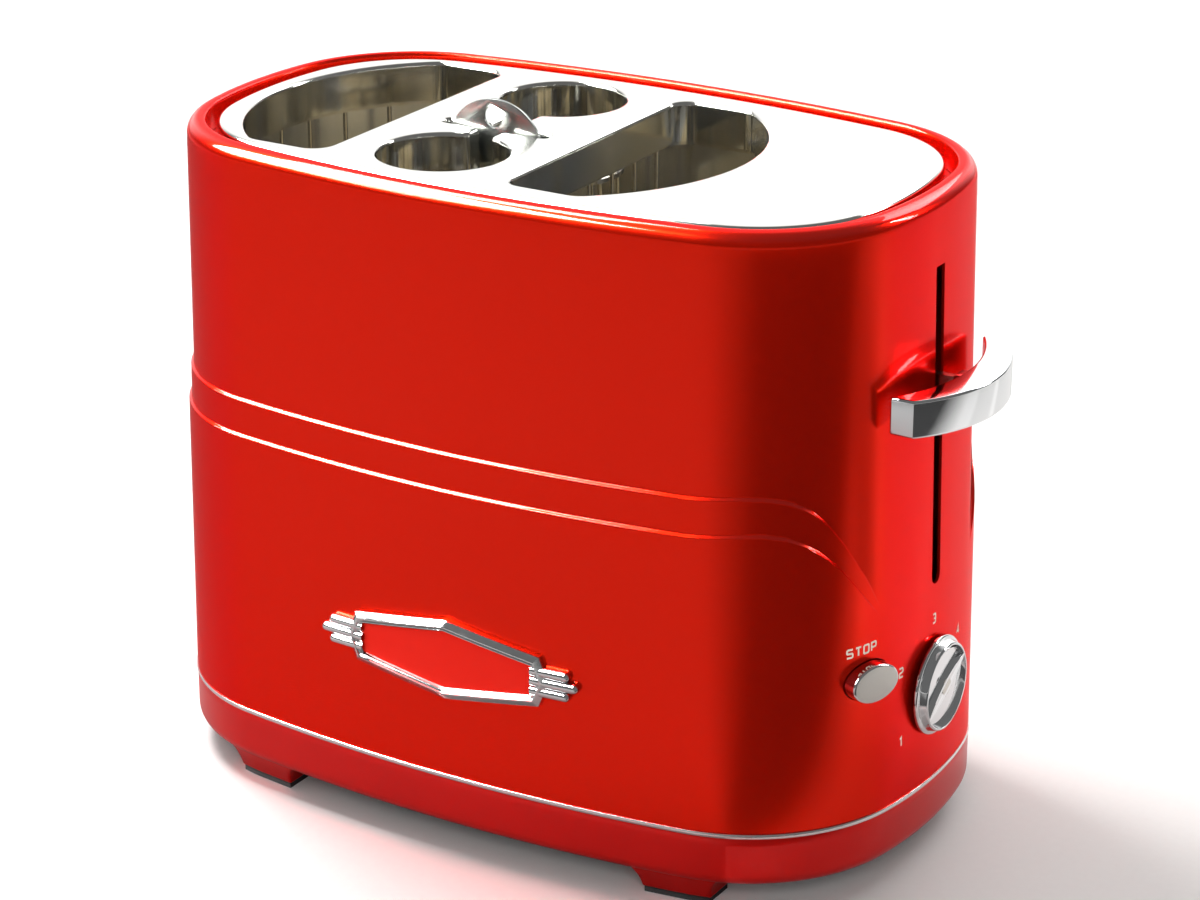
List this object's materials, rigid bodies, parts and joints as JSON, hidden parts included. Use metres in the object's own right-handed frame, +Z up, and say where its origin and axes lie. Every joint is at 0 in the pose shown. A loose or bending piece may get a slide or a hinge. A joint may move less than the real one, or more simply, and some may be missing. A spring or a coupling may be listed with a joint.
{
  "type": "hot dog toaster",
  "caption": "Upright oval hot dog toaster with bun slots, round hot dog holes, a lift-out cage, a crescent lever, a browning dial and a stop button.",
  "frame": {"origin": "centre of the footprint on the table, at the level of the foot pads", "axes": "+Z up, +X towards the lever end, -Y towards the badge"},
  "size_m": [0.3109, 0.1706, 0.239],
  "materials": {
    "red_enamel": "gloss stoved enamel",
    "red_plastic": "gloss moulded",
    "bright_trim": "bright silver band",
    "foot_rubber": "matt",
    "polished_steel": "polished",
    "chrome": "mirror plated",
    "red_inlay": "gloss enamel fill",
    "black_plastic": "moulded",
    "galvanised_sheet": "galvanised",
    "bright_sheet": "bright rolled sheet",
    "steel_wire": "nickel plated",
    "mica": "pressed mica",
    "nichrome": "dull ribbon",
    "soft_iron": "machined",
    "brass": "spring brass",
    "circuit_board": "green lacquer",
    "zinc_screw": "zinc plated"
  },
  "bodies": {
    "body": {"body_shell": "red_enamel", "trim_ring": "bright_trim", "base_skirt": "red_plastic", "foot_pads": "foot_rubber", "top_plate": "polished_steel", "badge_frame": "chrome", "badge_inlay": "red_inlay", "end_grip": "red_plastic", "cord_gland": "black_plastic", "bottom_plate": "galvanised_sheet", "chassis_base": "galvanised_sheet", "base_screws": "zinc_screw", "chassis_screws": "zinc_screw", "chassis_right_wall": "galvanised_sheet", "end_reflector": "bright_sheet", "front_reflector": "bright_sheet", "rear_reflector": "bright_sheet", "bun_guide_left": "steel_wire", "bun_guide_right": "steel_wire", "mica_board_left_outer": "mica", "mica_board_left_inner": "mica", "mica_board_right_inner": "mica", "mica_board_right_outer": "mica", "heater_ribbon_left_outer": "nichrome", "heater_ribbon_left_inner": "nichrome", "heater_ribbon_right_inner": "nichrome", "heater_ribbon_right_outer": "nichrome", "guide_rod": "steel_wire", "rod_bracket": "galvanised_sheet", "return_spring": "steel_wire", "magnet_core": "soft_iron", "magnet_bracket": "galvanised_sheet", "magnet_coil": "black_plastic", "contact_block": "black_plastic", "contact_leaves": "brass", "terminal_block": "black_plastic", "board_bracket": "galvanised_sheet", "control_board": "circuit_board", "board_screws": "zinc_screw", "timer_pot": "black_plastic", "stop_switch": "black_plastic"},
    "carriage": {"bun_rack_left": "steel_wire", "bun_rack_right": "steel_wire", "carriage_arm_front": "steel_wire", "carriage_arm_rear": "steel_wire", "carriage_cross_bar": "steel_wire", "cage_seat": "steel_wire", "carriage_bracket": "steel_wire", "lever_stem": "steel_wire", "lever_handle": "chrome", "armature_plate": "soft_iron", "latch_arm": "galvanised_sheet", "contact_bridge": "black_plastic"},
    "cage": {"hot_dog_cage": "steel_wire", "cage_tab": "polished_steel"},
    "dial": {"dial_knob": "chrome", "dial_shaft": "steel_wire"},
    "stop_button": {"stop_button": "chrome"},
    "tray": {"drip_tray": "bright_sheet", "drip_tray_front": "red_plastic"}
  },
  "joints": [
    {"name": "carriage_slide", "type": "slide", "parent": "body", "child": "carriage", "axis": [0, 0, 1], "range_m": [-0.06, 0.034], "stiffness_N_per_m": 120, "springref_m": 0.0265, "deforming": ["return_spring"]},
    {"name": "cage_lift_out", "type": "slide", "parent": "carriage", "child": "cage", "axis": [0, 0, 1], "range_m": [0, 0.2]},
    {"name": "dial_turn", "type": "hinge", "parent": "body", "child": "dial", "pos_m": [0.14, 0, 0.062], "axis": [-1, 0, 0], "range_deg": [-180, 60]},
    {"name": "stop_button_press", "type": "slide", "parent": "body", "child": "stop_button", "axis": [-0.9379, 0.3469, 0], "range_m": [0, 0.002], "stiffness_N_per_m": 800},
    {"name": "drip_tray_slide", "type": "slide", "parent": "body", "child": "tray", "axis": [0, 1, 0], "range_m": [0, 0.13]}
  ]
}
